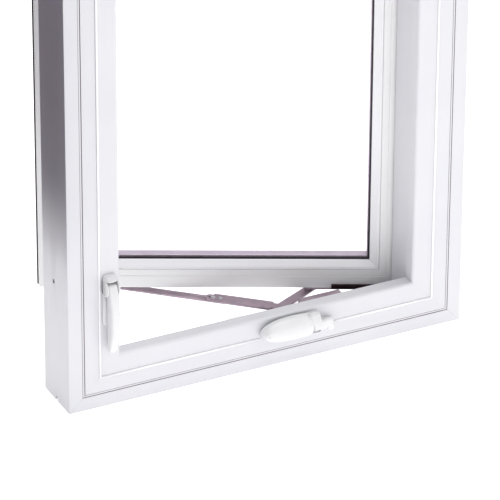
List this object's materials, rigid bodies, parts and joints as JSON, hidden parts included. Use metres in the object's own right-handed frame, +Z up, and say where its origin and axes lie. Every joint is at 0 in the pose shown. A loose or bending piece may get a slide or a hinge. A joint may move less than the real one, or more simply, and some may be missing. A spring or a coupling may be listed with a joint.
{
  "type": "casement window",
  "caption": "White casement window with an outward-swinging glazed sash, folding crank operator, sliding stay arm and jamb lock lever.",
  "frame": {"origin": "middle of the underside of the sill, at half the depth of the frame box", "axes": "+X to the hinge side, +Y outdoors, +Z up the window"},
  "size_m": [0.61, 0.3536, 0.914],
  "materials": {
    "vinyl_frame": "satin",
    "vinyl_sash": "satin",
    "painted_hardware": "semi-gloss",
    "arm_steel": "satin",
    "dark_steel": "satin",
    "zinc": "satin",
    "rubber": "matt",
    "glass": "clear",
    "spacer": "satin",
    "nylon": "matt"
  },
  "bodies": {
    "frame": {"frame_sill": "vinyl_frame", "frame_head": "vinyl_frame", "frame_jamb_lock": "vinyl_frame", "frame_jamb_hinge": "vinyl_frame", "sill_cover": "vinyl_frame", "head_cover": "vinyl_frame", "jamb_cover_lock": "vinyl_frame", "jamb_cover_hinge": "vinyl_frame", "frame_seal": "rubber", "operator_housing": "arm_steel", "operator_screws": "zinc", "crank_base": "painted_hardware", "lock_escutcheon": "painted_hardware", "lock_case": "zinc", "lock_pin": "zinc", "lock_screws": "zinc", "tie_bar_guides": "nylon", "stay_track": "zinc", "hinge_base_bottom": "zinc", "hinge_base_top": "zinc", "hinge_pins": "zinc", "hinge_screws": "zinc"},
    "sash": {"sash_rail_bottom": "vinyl_sash", "sash_rail_top": "vinyl_sash", "sash_stile_lock": "vinyl_sash", "sash_stile_hinge": "vinyl_sash", "bead_bottom": "vinyl_sash", "bead_top": "vinyl_sash", "bead_lock": "vinyl_sash", "bead_hinge": "vinyl_sash", "glass_inner": "glass", "glass_outer": "glass", "glass_spacer": "spacer", "glazing_gasket": "rubber", "setting_blocks": "rubber", "sash_seal": "rubber", "sash_track": "dark_steel", "stay_bracket": "arm_steel", "stay_stud": "zinc", "lock_keepers": "zinc", "sash_pivot_bottom": "arm_steel", "sash_pivot_top": "arm_steel"},
    "operator_arm": {"long_arm": "arm_steel", "arm_extension": "arm_steel", "arm_rivets": "zinc", "gear_sector": "zinc"},
    "arm_roller": {"arm_roller": "nylon"},
    "stay_arm": {"stay_arm": "arm_steel"},
    "stay_shoe": {"stay_shoe": "nylon"},
    "crank": {"spindle_worm": "zinc", "crank_hub": "painted_hardware", "fold_pin": "zinc"},
    "crank_handle": {"crank_handle": "painted_hardware", "knob_pin": "zinc"},
    "crank_knob": {"crank_knob": "painted_hardware"},
    "lock_lever": {"lock_lever": "painted_hardware"},
    "tie_bar": {"tie_bar": "zinc", "lock_rollers": "nylon"}
  },
  "joints": [
    {"name": "sash_swing", "type": "hinge", "parent": "frame", "child": "sash", "pos_m": [0.2433, 0.0485, 0.45], "axis": [0, 0, -1], "range_deg": [-26, 39]},
    {"name": "operator_arm_swing", "type": "hinge", "parent": "frame", "child": "operator_arm", "pos_m": [0.1206, 0.0164, 0.03], "axis": [0, 0, -1], "range_deg": [-33.5, 50.2]},
    {"name": "roller_spin", "type": "hinge", "parent": "operator_arm", "child": "arm_roller", "pos_m": [-0.11046, 0.22104, 0.025], "axis": [0, 0, 1], "continuous": true},
    {"name": "stay_swing", "type": "hinge", "parent": "sash", "child": "stay_arm", "pos_m": [0.13994, 0.09891, 0.022], "axis": [0, 0, 1], "range_deg": [-52.5, 78.5]},
    {"name": "shoe_turn", "type": "hinge", "parent": "stay_arm", "child": "stay_shoe", "pos_m": [0.03658, 0.0485, 0.018], "axis": [0, 0, -1], "range_deg": [-26.5, 39.5]},
    {"name": "crank_turn", "type": "hinge", "parent": "frame", "child": "crank", "pos_m": [0.09365, -0.05, 0.046], "axis": [0, -1, 0], "range_deg": [-1200, 1800]},
    {"name": "crank_fold", "type": "hinge", "parent": "crank", "child": "crank_handle", "pos_m": [0.06615, -0.056, 0.055], "axis": [0, 0, 1], "range_deg": [0, 105]},
    {"name": "knob_spin", "type": "hinge", "parent": "crank_handle", "child": "crank_knob", "pos_m": [-0.00685, -0.054, 0.059], "axis": [0, -1, 0], "continuous": true},
    {"name": "lock_lever_turn", "type": "hinge", "parent": "frame", "child": "lock_lever", "pos_m": [-0.244, -0.052, 0.19], "axis": [-1, 0, 0], "range_deg": [0, 100]},
    {"name": "tie_bar_slide", "type": "slide", "parent": "frame", "child": "tie_bar", "axis": [0, 0, 1], "range_m": [0, 0.031]}
  ],
  "couplings": [
    {"joint": "operator_arm_swing", "follows": "sash_swing", "ratio": 1.28},
    {"joint": "crank_turn", "follows": "sash_swing", "ratio": 46.08},
    {"joint": "stay_swing", "follows": "sash_swing", "ratio": 2},
    {"joint": "shoe_turn", "follows": "sash_swing", "ratio": 1},
    {"joint": "tie_bar_slide", "follows": "lock_lever_turn", "m_per_rad": 0.0172}
  ]
}
